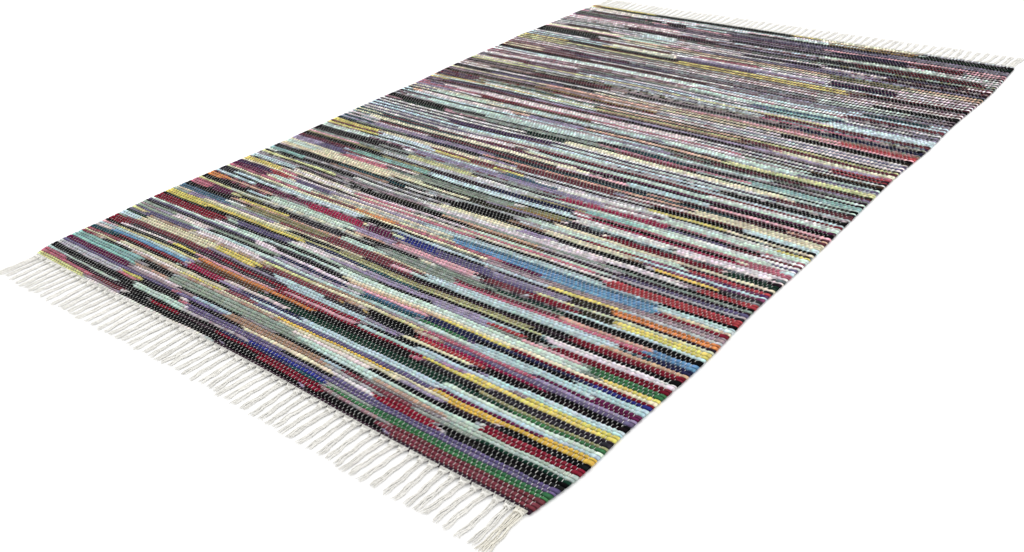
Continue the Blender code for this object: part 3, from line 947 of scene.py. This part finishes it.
def cloth_body(rags):
    """The closed thin sheet under the rows: ribbed below, as the rug's underside is."""
    lines = np.arange(2 * ROW_COUNT + 1)
    share = lines / (2 * ROW_COUNT)
    left = edge_x(share, -1) + BODY_INSET
    right = edge_x(share, 1) - BODY_INSET
    step = np.arange(BODY_COLUMNS + 1) / BODY_COLUMNS
    x = left[:, None] + (right - left)[:, None] * step
    y = cloth_y(x, share[:, None])
    y[0] += BODY_INSET
    y[-1] -= BODY_INSET
    under = np.where(lines % 2 == 1, 0.0, BODY_RIB)[:, None] + np.full_like(x, BODY_BOTTOM)
    top = np.stack([x, y, np.full_like(x, BODY_TOP)], axis=-1).reshape(-1, 3)
    below = np.stack([x, y, under], axis=-1).reshape(-1, 3)
    faces = grid_faces(1, len(lines), BODY_COLUMNS + 1)
    count = len(top)
    grid = np.arange(count).reshape(len(lines), BODY_COLUMNS + 1)
    rim = np.concatenate([grid[0, :-1], grid[:-1, -1], grid[-1, :0:-1], grid[:0:-1, 0]])
    after = np.roll(rim, -1)
    sides = np.stack([rim + count, after + count, after, rim], axis=-1)
    quads = np.concatenate([faces, faces[:, ::-1] + count, sides])
    flat = np.stack([x - x.min(), y - y.min()], axis=-1).reshape(-1, 2)
    flat /= flat.max(0)
    top_uv = flat * (BODY_MAP_WIDTH, 1.0)
    uv = np.concatenate([top_uv, top_uv + (BODY_MAP_UNDERSIDE, 0.0)])
    rim_uv = np.stack([np.full(len(rim), BODY_MAP_RIM), np.linspace(0, 1, len(rim))], axis=-1)
    quad_uv = np.concatenate([uv[quads[: 2 * len(faces)]], np.repeat(rim_uv[:, None], 4, axis=1)])
    obj = make_piece("cloth_body", np.concatenate([top, below]), quads, quad_uv=quad_uv)
    rows = np.minimum(lines // 2, ROW_COUNT - 1)
    colours = rags.colours(rows, x, 0.0)
    # The top gets painted shade, as it lies in the shadow under the rows
    paint(obj, np.concatenate([colours * BODY_TOP_PAINTED_SHADE, colours]))
    return obj


# The knots and tassels, as in the solids that they cover
GAP = 0.00035
KNOT_COUNT = 65
KNOT_DEPTH = 0.0085
KNOT_SPREAD = 0.0030
KNOT_JITTER = 0.0009
STRAND_LENGTH = 0.0720
STRAND_LENGTH_LOSS = 0.0050
STRAND_BEND = 0.0014
LEAN_SWING = 0.0045
LEAN_STEP = 0.83
LEAN_CHANCE = 0.0010
CORNER_LEAN = 0.0040
SPLIT_CLEARANCE = 0.0009
SPLIT_EVERY = 6
KNOT_KINDS = {
    "plain": {"strands": 1, "half": 0.0029, "splay": 0.0, "yarns": 6},
    "split": {"strands": 2, "half": 0.0037, "splay": 0.0020, "yarns": 3},
    "corner": {"strands": 3, "half": 0.0064, "splay": 0.0022, "yarns": 3},
}

# The yarns of a tassel
YARN_SIDES = 5
YARN_RADIUS = 0.00098
WARP_RADIUS = 0.00122
YARN_TURN_CHANCE = 0.3
YARN_TWISTS = (0.35, 0.55)
YARN_REACHES = (0.95, 1.03)
YARN_SHADE = 0.84
PLY_TURNS = 30

# From the cloth the yarns fan in to the knot, and gather late. In the fan each yarn gets painted shade of
# its own, for the shadows between yarns
KNOT_STEPS = 4
FAN_HOLD = 0.0016
FAN_WIDTH = 0.0182
FAN_GATHER = 1.8
FAN_HEIGHT = 0.0036
FAN_FALL = 0.0012
FAN_STACK = 0.0007
KNOT_FILL = 0.3
FAN_PAINTED_SHADE = 0.66

# Past the knot they hang as a loose bundle, which flares under the knot and opens towards its tip
STRAND_STEPS = 10
BUNDLE_RISE = 0.00075
BUNDLE_FALL = 0.00022
BUNDLE_EASE = 0.0003
BUNDLE_LEAST = 0.0009
FLARE = 0.0014
FLARE_FADE = 8
YARN_SWAY = 0.00060
SWAY_TURN = 9.0
CRIMP = 0.0009
CRIMP_STEP = 2.4
CRIMP_STRAND_STEP = 1.7
CRIMP_TURNS = 2.3
CRIMP_ONSET = 3
YARN_TAPER = 0.12
TIP_NARROWING = 0.55
TIP_LENGTH = 0.12
FLOOR_GAP = 0.0001
LEAST_HEIGHT = 0.0002

# The two turns of yarn that wrap each knot
WRAP_STEPS = 12
WRAP_SIDES = 5
WRAP_RADIUS = 0.00130
WRAP_SHARE = 0.8
WRAP_REACH = 0.0019
WRAP_PLACE = 0.0058
WRAP_LEAN = 0.0017
WRAP_HEIGHT = 0.0029
WRAP_RISE = 0.0017
WRAP_SHADE = 0.88
WRAP_PLY_TURNS = 7

# The corners of a quad, round and along a yarn, and the margin of a yarn's cell in the bake map
QUAD_CORNERS = ((0, 0), (1, 0), (1, 1), (0, 1))
MAP_MARGIN = 0.04


def end_edge(x, end):
    """Y of the cloth's front or back end at x."""
    share = np.array((end + 1) / 2)
    return float(cloth_y(np.array(x), share))


def tassels(end, seed):
    """Each knot of one end from left to right, with how its strands lie."""
    chance = random.Random(seed)
    share = np.array((end + 1) / 2)
    left = float(edge_x(share, -1)) + SHOULDER_INSET
    right = float(edge_x(share, 1)) - SHOULDER_INSET
    pitch = (right - left) / KNOT_COUNT
    for index in range(KNOT_COUNT):
        split = index % SPLIT_EVERY == SPLIT_EVERY // 2
        kind = KNOT_KINDS["split" if split else "plain"]
        centre = left + (index + 0.5) * pitch + chance.uniform(-1, 1) * KNOT_JITTER
        length = STRAND_LENGTH - chance.uniform(0, STRAND_LENGTH_LOSS)
        lean = LEAN_SWING * math.sin(LEAN_STEP * index + end)
        lean += chance.uniform(-1, 1) * LEAN_CHANCE
        bend = chance.uniform(-1, 1) * STRAND_BEND
        corner = index in (0, KNOT_COUNT - 1)
        if corner:
            kind = KNOT_KINDS["corner"]
            outward = 1 if index else -1
            reach = kind["half"] + KNOT_SPREAD
            centre = right - reach if index else left + reach
            lean = outward * CORNER_LEAN
            length = STRAND_LENGTH
        yield {
            "kind": kind,
            "centre": centre,
            "length": length,
            "lean": lean,
            "bend": bend,
            "aged": corner and index > 0 and end < 0,
            "crimp": CRIMP_STEP * index,
        }


def yarn_path(tassel, number, yarn, end, chance):
    """The middle line and the radius of one yarn, from the cloth through the knot to its tip."""
    kind = tassel["kind"]
    count = kind["strands"]
    width = (2 * kind["half"] - (count - 1) * SPLIT_CLEARANCE) / count
    root = tassel["centre"] - kind["half"] + number * (width + SPLIT_CLEARANCE) + width / 2
    sideways = tassel["lean"] + kind["splay"] * (number - (count - 1) / 2)
    yarns = kind["yarns"]
    order = number * yarns + yarn
    spread = (order + 0.5) / (count * yarns) - 0.5
    at_cloth = tassel["centre"] + spread * FAN_WIDTH
    edge = end_edge(tassel["centre"], end)
    turn = math.tau * yarn / yarns + chance.uniform(-YARN_TURN_CHANCE, YARN_TURN_CHANCE)
    twist = math.tau * chance.uniform(*YARN_TWISTS)
    points = []
    radii = []
    for step in range(KNOT_STEPS):
        share = step / KNOT_STEPS
        gather = share**FAN_GATHER
        into = root + KNOT_FILL * (width / 2) * math.cos(turn)
        x = at_cloth * (1 - gather) + into * gather
        y = edge + end * (-FAN_HOLD + share * (KNOT_DEPTH + FAN_HOLD))
        z = FAN_HEIGHT - FAN_FALL * gather + FAN_STACK * gather * math.sin(turn)
        points.append((x, y, z))
        radii.append(WARP_RADIUS + (YARN_RADIUS - WARP_RADIUS) * share)
    reach = chance.uniform(*YARN_REACHES)
    sway = chance.uniform(0, math.tau)
    for step in range(STRAND_STEPS):
        share = step / (STRAND_STEPS - 1)
        angle = turn + twist * share
        half = max(width / 2 - YARN_RADIUS + BUNDLE_EASE, BUNDLE_LEAST) * (1 + share)
        half += FLARE * (1 - share) ** FLARE_FADE
        rise = BUNDLE_RISE + (BUNDLE_FALL - BUNDLE_RISE) * share
        x = root + sideways * share + tassel["bend"] * math.sin(math.pi * share)
        x += half * math.cos(angle) + YARN_SWAY * math.sin(sway + SWAY_TURN * share) * share
        crimp = tassel["crimp"] + CRIMP_STRAND_STEP * number + math.tau * CRIMP_TURNS * share
        x += CRIMP * math.sin(crimp) * min(1.0, CRIMP_ONSET * share)
        y = edge + end * (GAP + KNOT_DEPTH + tassel["length"] * share * reach)
        radius = YARN_RADIUS * (1 - YARN_TAPER * share) * (TIP_NARROWING if share == 1 else 1)
        z = YARN_RADIUS + FLOOR_GAP + rise * (1 + math.sin(angle))
        points.append((x, y, z))
        radii.append(radius)
    return points, radii


def wrap_path(tassel, tilt, end):
    """The middle line of one turn of the knot, which stands across the yarns and leans."""
    half = tassel["kind"]["half"] * WRAP_SHARE + WRAP_REACH
    edge = end_edge(tassel["centre"], end)
    points = []
    for step in range(WRAP_STEPS):
        angle = math.tau * step / WRAP_STEPS
        x = tassel["centre"] + half * math.cos(angle)
        y = edge + end * (WRAP_PLACE + WRAP_LEAN * tilt * math.cos(angle))
        z = WRAP_HEIGHT + WRAP_RISE * math.sin(angle)
        points.append((x, y, z))
    return points


def rings(paths, radii, sides, looped):
    """The rings of points round many middle lines of one length, whose lines run in any direction."""
    if looped:
        ahead = np.roll(paths, -1, axis=1) - np.roll(paths, 1, axis=1)
    else:
        ahead = np.gradient(paths, axis=1)
    ahead /= np.linalg.norm(ahead, axis=-1, keepdims=True)
    out = np.array([0.0, 1.0, 0.0]) if looped else np.array([0.0, 0.0, 1.0])
    first = np.cross(ahead, out)
    first /= np.linalg.norm(first, axis=-1, keepdims=True)
    second = np.cross(first, ahead)
    angle = math.tau * np.arange(sides) / sides
    ring = first[:, :, None] * np.cos(angle)[:, None] + second[:, :, None] * np.sin(angle)[:, None]
    return paths[:, :, None] + ring * radii[..., None, None]


def tube_places(spans, sides, turns=1):
    """Where the corners of one tube's quads lie: from 0 to 1 round it, and to so many turns along."""
    u = np.arange(sides) / sides
    v = np.arange(spans) / spans
    places = [
        np.stack(np.broadcast_arrays(u + du / sides, (v[:, None] + dv / spans) * turns), axis=-1)
        for du, dv in QUAD_CORNERS
    ]
    return np.stack(places, axis=2)


def tube_faces(count, steps, sides, looped, start):
    """The quads of many tubes of one size, and the places of their corners from 0 to 1."""
    corner = start + np.arange(count * steps * sides).reshape(count, steps, sides)
    near = corner if looped else corner[:, :-1]
    far = np.roll(corner, -1, axis=1) if looped else corner[:, 1:]
    quads = np.stack([near, np.roll(near, -1, 2), np.roll(far, -1, 2), far], axis=-1)
    places = tube_places(near.shape[1], sides)
    return quads, np.broadcast_to(places, (count, *places.shape))


def in_cells(places, first, columns):
    """Shrinks each tube's places into a cell of its own in a square map."""
    number = first + np.arange(len(places))
    corner = np.stack([number % columns, number // columns], axis=-1)
    corner = corner.reshape(-1, *([1] * (places.ndim - 2)), 2)
    return (corner + MAP_MARGIN + (1 - 2 * MAP_MARGIN) * places) / columns


def tassel_yarns(end, seed):
    """Middle lines, radii and whites of one end's yarns with the painted shade of their fans, and of the
    wraps of its knots.
    """
    chance = random.Random(seed + SEEDS["yarns"])
    keys = ("paths", "radii", "whites", "fan_painted_shades", "wraps", "wrap_whites")
    found = {key: [] for key in keys}
    for tassel in tassels(end, seed):
        white = linear(AGED_WHITE if tassel["aged"] else TASSEL_WHITE)
        for number in range(tassel["kind"]["strands"]):
            for yarn in range(tassel["kind"]["yarns"]):
                path, radii = yarn_path(tassel, number, yarn, end, chance)
                found["paths"].append(path)
                found["radii"].append(radii)
                found["whites"].append(white * chance.uniform(YARN_SHADE, 1.0))
                found["fan_painted_shades"].append(chance.uniform(FAN_PAINTED_SHADE, 1.0))
        for tilt in (-1, 1):
            found["wraps"].append(wrap_path(tassel, tilt, end))
            found["wrap_whites"].append(white * chance.uniform(WRAP_SHADE, 1.0))
    return [np.array(found[key]) for key in keys]


def tassel_piece(name, end, seed):
    """The knots and the hanging yarns along one end of the cloth."""
    paths, radii, whites, fan_painted_shades, wraps, wrap_whites = tassel_yarns(end, seed)
    count, steps = paths.shape[:2]
    yarn_points = rings(paths, radii, YARN_SIDES, False).reshape(-1, 3)
    wrap_radii = np.full(wraps.shape[:2], WRAP_RADIUS)
    wrap_points = rings(wraps, wrap_radii, WRAP_SIDES, True).reshape(-1, 3)
    tips = paths[:, -1] + (paths[:, -1] - paths[:, -2]) * TIP_LENGTH
    points = np.concatenate([yarn_points, wrap_points, tips])
    points[:, 2] = np.maximum(points[:, 2], LEAST_HEIGHT)

    yarn_quads, yarn_uv = tube_faces(count, steps, YARN_SIDES, False, 0)
    wrap_quads, wrap_uv = tube_faces(len(wraps), WRAP_STEPS, WRAP_SIDES, True, len(yarn_points))
    columns = math.ceil(math.sqrt(count + len(wraps)))
    yarn_uv = in_cells(yarn_uv, 0, columns)
    wrap_uv = in_cells(wrap_uv, count, columns)
    quads = np.concatenate([yarn_quads.reshape(-1, 4), wrap_quads.reshape(-1, 4)])
    quad_uv = np.concatenate([yarn_uv.reshape(-1, 4, 2), wrap_uv.reshape(-1, 4, 2)])
    last = (np.arange(count)[:, None] * steps + steps - 1) * YARN_SIDES + np.arange(YARN_SIDES)
    tip = np.broadcast_to((len(points) - count + np.arange(count))[:, None], last.shape)
    caps = np.stack([last, np.roll(last, -1, 1), tip], axis=-1).reshape(-1, 3)
    cap_uv = np.repeat(yarn_uv[:, -1, :, 3][:, :, None], 3, axis=2).reshape(-1, 3, 2)
    obj = make_piece(name, points, quads, caps, quad_uv, cap_uv)

    twist = obj.data.uv_layers.new(name="twist")
    yarn_ply = tube_places(steps - 1, YARN_SIDES, PLY_TURNS).reshape(-1, 2)
    wrap_ply = tube_places(WRAP_STEPS, WRAP_SIDES, WRAP_PLY_TURNS).reshape(-1, 2)
    ply = np.concatenate(
        [np.tile(yarn_ply, (count, 1)), np.tile(wrap_ply, (len(wraps), 1)), np.zeros((caps.size, 2))]
    )
    twist.data.foreach_set("uv", ply.astype(np.float32).ravel())

    # Painted shade on each yarn's fan, for the shadows between the yarns
    painted_shading = np.ones((count, steps, 1))
    painted_shading[:, :KNOT_STEPS, 0] = fan_painted_shades[:, None]
    yarn_whites = (whites[:, None] * painted_shading).reshape(-1, 3)
    wrap_whites = np.repeat(wrap_whites, WRAP_STEPS * WRAP_SIDES, axis=0)
    paint(obj, np.concatenate([np.repeat(yarn_whites, YARN_SIDES, axis=0), wrap_whites, whites]))
    return obj


# How rough and downy each cotton is, and how little it shines
RAG_ROUGHNESS = 0.95
WARP_ROUGHNESS = 0.9
TASSEL_ROUGHNESS = 0.92
YARN_SHEEN = 0.1
COTTON_SHINE = 0.06

# Creases, fluff and fuzz of the cottons, so many to the metre
CREASES = (260.0, 900.0, 500.0)
RAG_FLUFF = 1900.0
WARP_FUZZ = 1500.0
TASSEL_FUZZ = 1300.0

# How much of a piece's own colour stays, and what each fine detail adds to it: the rags' creases and the
# yarns' ply add painted shade in their hollows and painted light on their ridges
RAG_SHADE = {"base": 0.62, "creases": 0.55, "fluff": 0.2}
WARP_SHADE = {"base": 0.9, "fuzz": 0.16}
TASSEL_SHADE = {"base": 0.9, "ply": 0.08, "fuzz": 0.06}


class Signal:
    """One socket of a shader, on which Python sums add Math nodes."""

    def __init__(self, finish, socket):
        self.finish = finish
        self.socket = socket

    def math(self, operation, first, second):
        """Adds a Math node and returns its result."""
        return self.finish.node("ShaderNodeMath", {"operation": operation}, {0: first, 1: second})

    def __add__(self, other):
        return self.math("ADD", self, other)

    def __mul__(self, other):
        return self.math("MULTIPLY", self, other)

    __radd__ = __add__
    __rmul__ = __mul__


class Finish:
    """A cotton finish: a material and the nodes that colour and roughen it."""

    def __init__(self, name, roughness, sheen):
        self.material = bpy.data.materials.new(name)
        self.material.use_nodes = True
        self.tree = self.material.node_tree
        self.shader = self.tree.nodes["Principled BSDF"]
        self.shader.inputs["Roughness"].default_value = roughness
        self.shader.inputs["Sheen Weight"].default_value = sheen
        self.shader.inputs["Specular IOR Level"].default_value = COTTON_SHINE

    def connect(self, socket, value):
        """Links a signal to a socket, or sets the socket to a plain value."""
        if isinstance(value, Signal):
            self.tree.links.new(value.socket, socket)
        else:
            socket.default_value = value

    def node(self, kind, settings=None, values=None, output=0):
        """Adds a node, sets it, feeds its sockets and returns one of its outputs."""
        made = self.tree.nodes.new(kind)
        for name, value in (settings or {}).items():
            setattr(made, name, value)
        for key, value in (values or {}).items():
            self.connect(made.inputs[key], value)
        return Signal(self, made.outputs[output])

    def dye(self):
        """The colour that each point of the piece carries."""
        return self.node("ShaderNodeAttribute", {"attribute_name": "dye"})

    def place(self):
        """The place of a point in the rug, in metres."""
        return self.node("ShaderNodeTexCoord", output="Object")

    def noise(self, place, scale, detail):
        """A soft random value from 0 to 1, so many to the metre."""
        values = {"Vector": place, "Scale": scale, "Detail": detail}
        return self.node("ShaderNodeTexNoise", None, values)

    def stretched(self, place, scale):
        """A place stretched apart by three factors."""
        return self.node("ShaderNodeVectorMath", {"operation": "MULTIPLY"}, {0: place, 1: scale})

    def scaled(self, colour, amount):
        """A colour made darker or lighter by an amount."""
        return self.node("ShaderNodeVectorMath", {"operation": "SCALE"}, {0: colour, "Scale": amount})

    def feed(self, name, value):
        """Gives one of the shader's inputs its value or link."""
        self.connect(self.shader.inputs[name], value)

    def bump(self, height, strength, distance):
        """Raises the surface by a height of so many metres."""
        values = {"Height": height, "Strength": strength, "Distance": distance}
        self.feed("Normal", self.node("ShaderNodeBump", None, values))


def rag_finish():
    """Washed cotton rags, creased along their length, with a little fluff."""
    finish = Finish("rag_cotton", RAG_ROUGHNESS, sheen=0.0)
    place = finish.place()
    creases = finish.noise(finish.stretched(place, CREASES), scale=1.0, detail=3.0)
    fluff = finish.noise(place, RAG_FLUFF, detail=2.0)
    # The creases shade the colour as they raise the surface: painted shade in their hollows, painted light
    # on their ridges
    shade = creases * RAG_SHADE["creases"] + RAG_SHADE["base"] + fluff * RAG_SHADE["fluff"]
    finish.feed("Base Color", finish.scaled(finish.dye(), shade))
    finish.bump(creases + fluff * 0.35, strength=0.55, distance=0.0007)
    return finish.material


def warp_finish():
    """White cotton warp thread with a slight fuzz."""
    finish = Finish("warp_thread", WARP_ROUGHNESS, YARN_SHEEN)
    fuzz = finish.noise(finish.place(), WARP_FUZZ, detail=2.0)
    shade = fuzz * WARP_SHADE["fuzz"] + WARP_SHADE["base"]
    finish.feed("Base Color", finish.scaled(finish.dye(), shade))
    finish.bump(fuzz, strength=0.3, distance=0.0003)
    return finish.material


def tassel_finish():
    """Loosely plied white cotton yarn."""
    finish = Finish("tassel_yarn", TASSEL_ROUGHNESS, YARN_SHEEN)
    places = finish.node("ShaderNodeUVMap", {"uv_map": "twist"})
    ply = finish.node(
        "ShaderNodeTexWave",
        {"wave_type": "BANDS", "bands_direction": "DIAGONAL"},
        {"Vector": places, "Scale": 0.318, "Distortion": 0.6, "Detail": 1.0},
        output="Fac",
    )
    fuzz = finish.noise(finish.place(), TASSEL_FUZZ, detail=3.0)
    # The ply bands shade the colour as they raise the surface: painted shade in the grooves between the
    # plies
    shade = ply * TASSEL_SHADE["ply"] + TASSEL_SHADE["base"] + fuzz * TASSEL_SHADE["fuzz"]
    finish.feed("Base Color", finish.scaled(finish.dye(), shade))
    finish.bump(ply + fuzz * 0.5, strength=0.5, distance=0.0005)
    return finish.material


# The pale floor, and the lights above it
FLOOR_HALF = 9.0
FLOOR_HEIGHT = -0.0003
FLOOR_WHITE = (0.95, 0.95, 0.95, 1.0)
FLOOR_ROUGHNESS = 0.8
FLOOR_SHINE = 0.1
ROOM_LIGHT = 1.0
LAMPS = (
    {"name": "overhead_light", "place": (-0.6, 1.2, 2.6), "size": 1.6, "power": 22.0},
    {"name": "side_light", "place": (-2.4, -0.8, 1.9), "size": 1.4, "power": 16.0},
)


def lay_floor():
    """A pale floor just under the rug."""
    corners = [(2 * u * FLOOR_HALF - FLOOR_HALF, 2 * v * FLOOR_HALF - FLOOR_HALF) for u, v in QUAD_CORNERS]
    points = np.array([(x, y, FLOOR_HEIGHT) for x, y in corners])
    floor = make_piece("floor", points, np.array([[0, 1, 2, 3]]), quad_uv=np.array([QUAD_CORNERS], float))
    pale = bpy.data.materials.new("pale_floor")
    pale.use_nodes = True
    shader = pale.node_tree.nodes["Principled BSDF"]
    shader.inputs["Base Color"].default_value = FLOOR_WHITE
    shader.inputs["Roughness"].default_value = FLOOR_ROUGHNESS
    shader.inputs["Specular IOR Level"].default_value = FLOOR_SHINE
    floor.data.materials.append(pale)
    floor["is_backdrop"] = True


def light_scene():
    """Soft studio light: an even white room and two large lamps that face the rug."""
    scene = bpy.context.scene
    scene.view_settings.view_transform = "Standard"
    world = bpy.data.worlds.new("studio")
    scene.world = world
    world.use_nodes = True
    background = world.node_tree.nodes["Background"]
    background.inputs["Color"].default_value = (1.0, 1.0, 1.0, 1.0)
    background.inputs["Strength"].default_value = ROOM_LIGHT
    for lamp in LAMPS:
        light = bpy.data.lights.new(lamp["name"], "AREA")
        light.size = lamp["size"]
        light.energy = lamp["power"]
        holder = bpy.data.objects.new(lamp["name"], light)
        scene.collection.objects.link(holder)
        holder.location = lamp["place"]
        holder.rotation_mode = "QUATERNION"
        holder.rotation_quaternion = (-Vector(lamp["place"])).to_track_quat("-Z", "Y")


def main():
    """Makes the pieces, gives each its finish and its body."""
    lay_floor()
    light_scene()
    rags = Rags()
    thirds = [round(ROW_COUNT * part / 3) for part in range(4)]
    weft_names = ("weft_front", "weft_middle", "weft_back")
    weft = [
        weft_piece(name, first, stop, rags)
        for name, first, stop in zip(weft_names, thirds, thirds[1:])
    ]
    middle = ROW_COUNT // 2
    warp = [warp_piece("warp_front", 0, middle), warp_piece("warp_back", middle, ROW_COUNT)]
    body = cloth_body(rags)
    front = tassel_piece("front_tassels", -1, SEEDS["front_tassels"])
    back = tassel_piece("back_tassels", 1, SEEDS["back_tassels"])
    looks = (
        (weft + [body], rag_finish(), "rag_weft"),
        (warp, warp_finish(), "warp_cotton"),
        ([front, back], tassel_finish(), "warp_cotton"),
    )
    for pieces, material, slot in looks:
        for piece in pieces:
            piece.data.materials.append(material)
            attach(piece, "root")
    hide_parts("woven_cloth")
    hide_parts("front_fringe")
    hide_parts("back_fringe")
    boxes = {"cad": cad_box, "visual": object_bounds()}
    sizes = {name: [list(corner) for corner in box] for name, box in boxes.items()}


main()
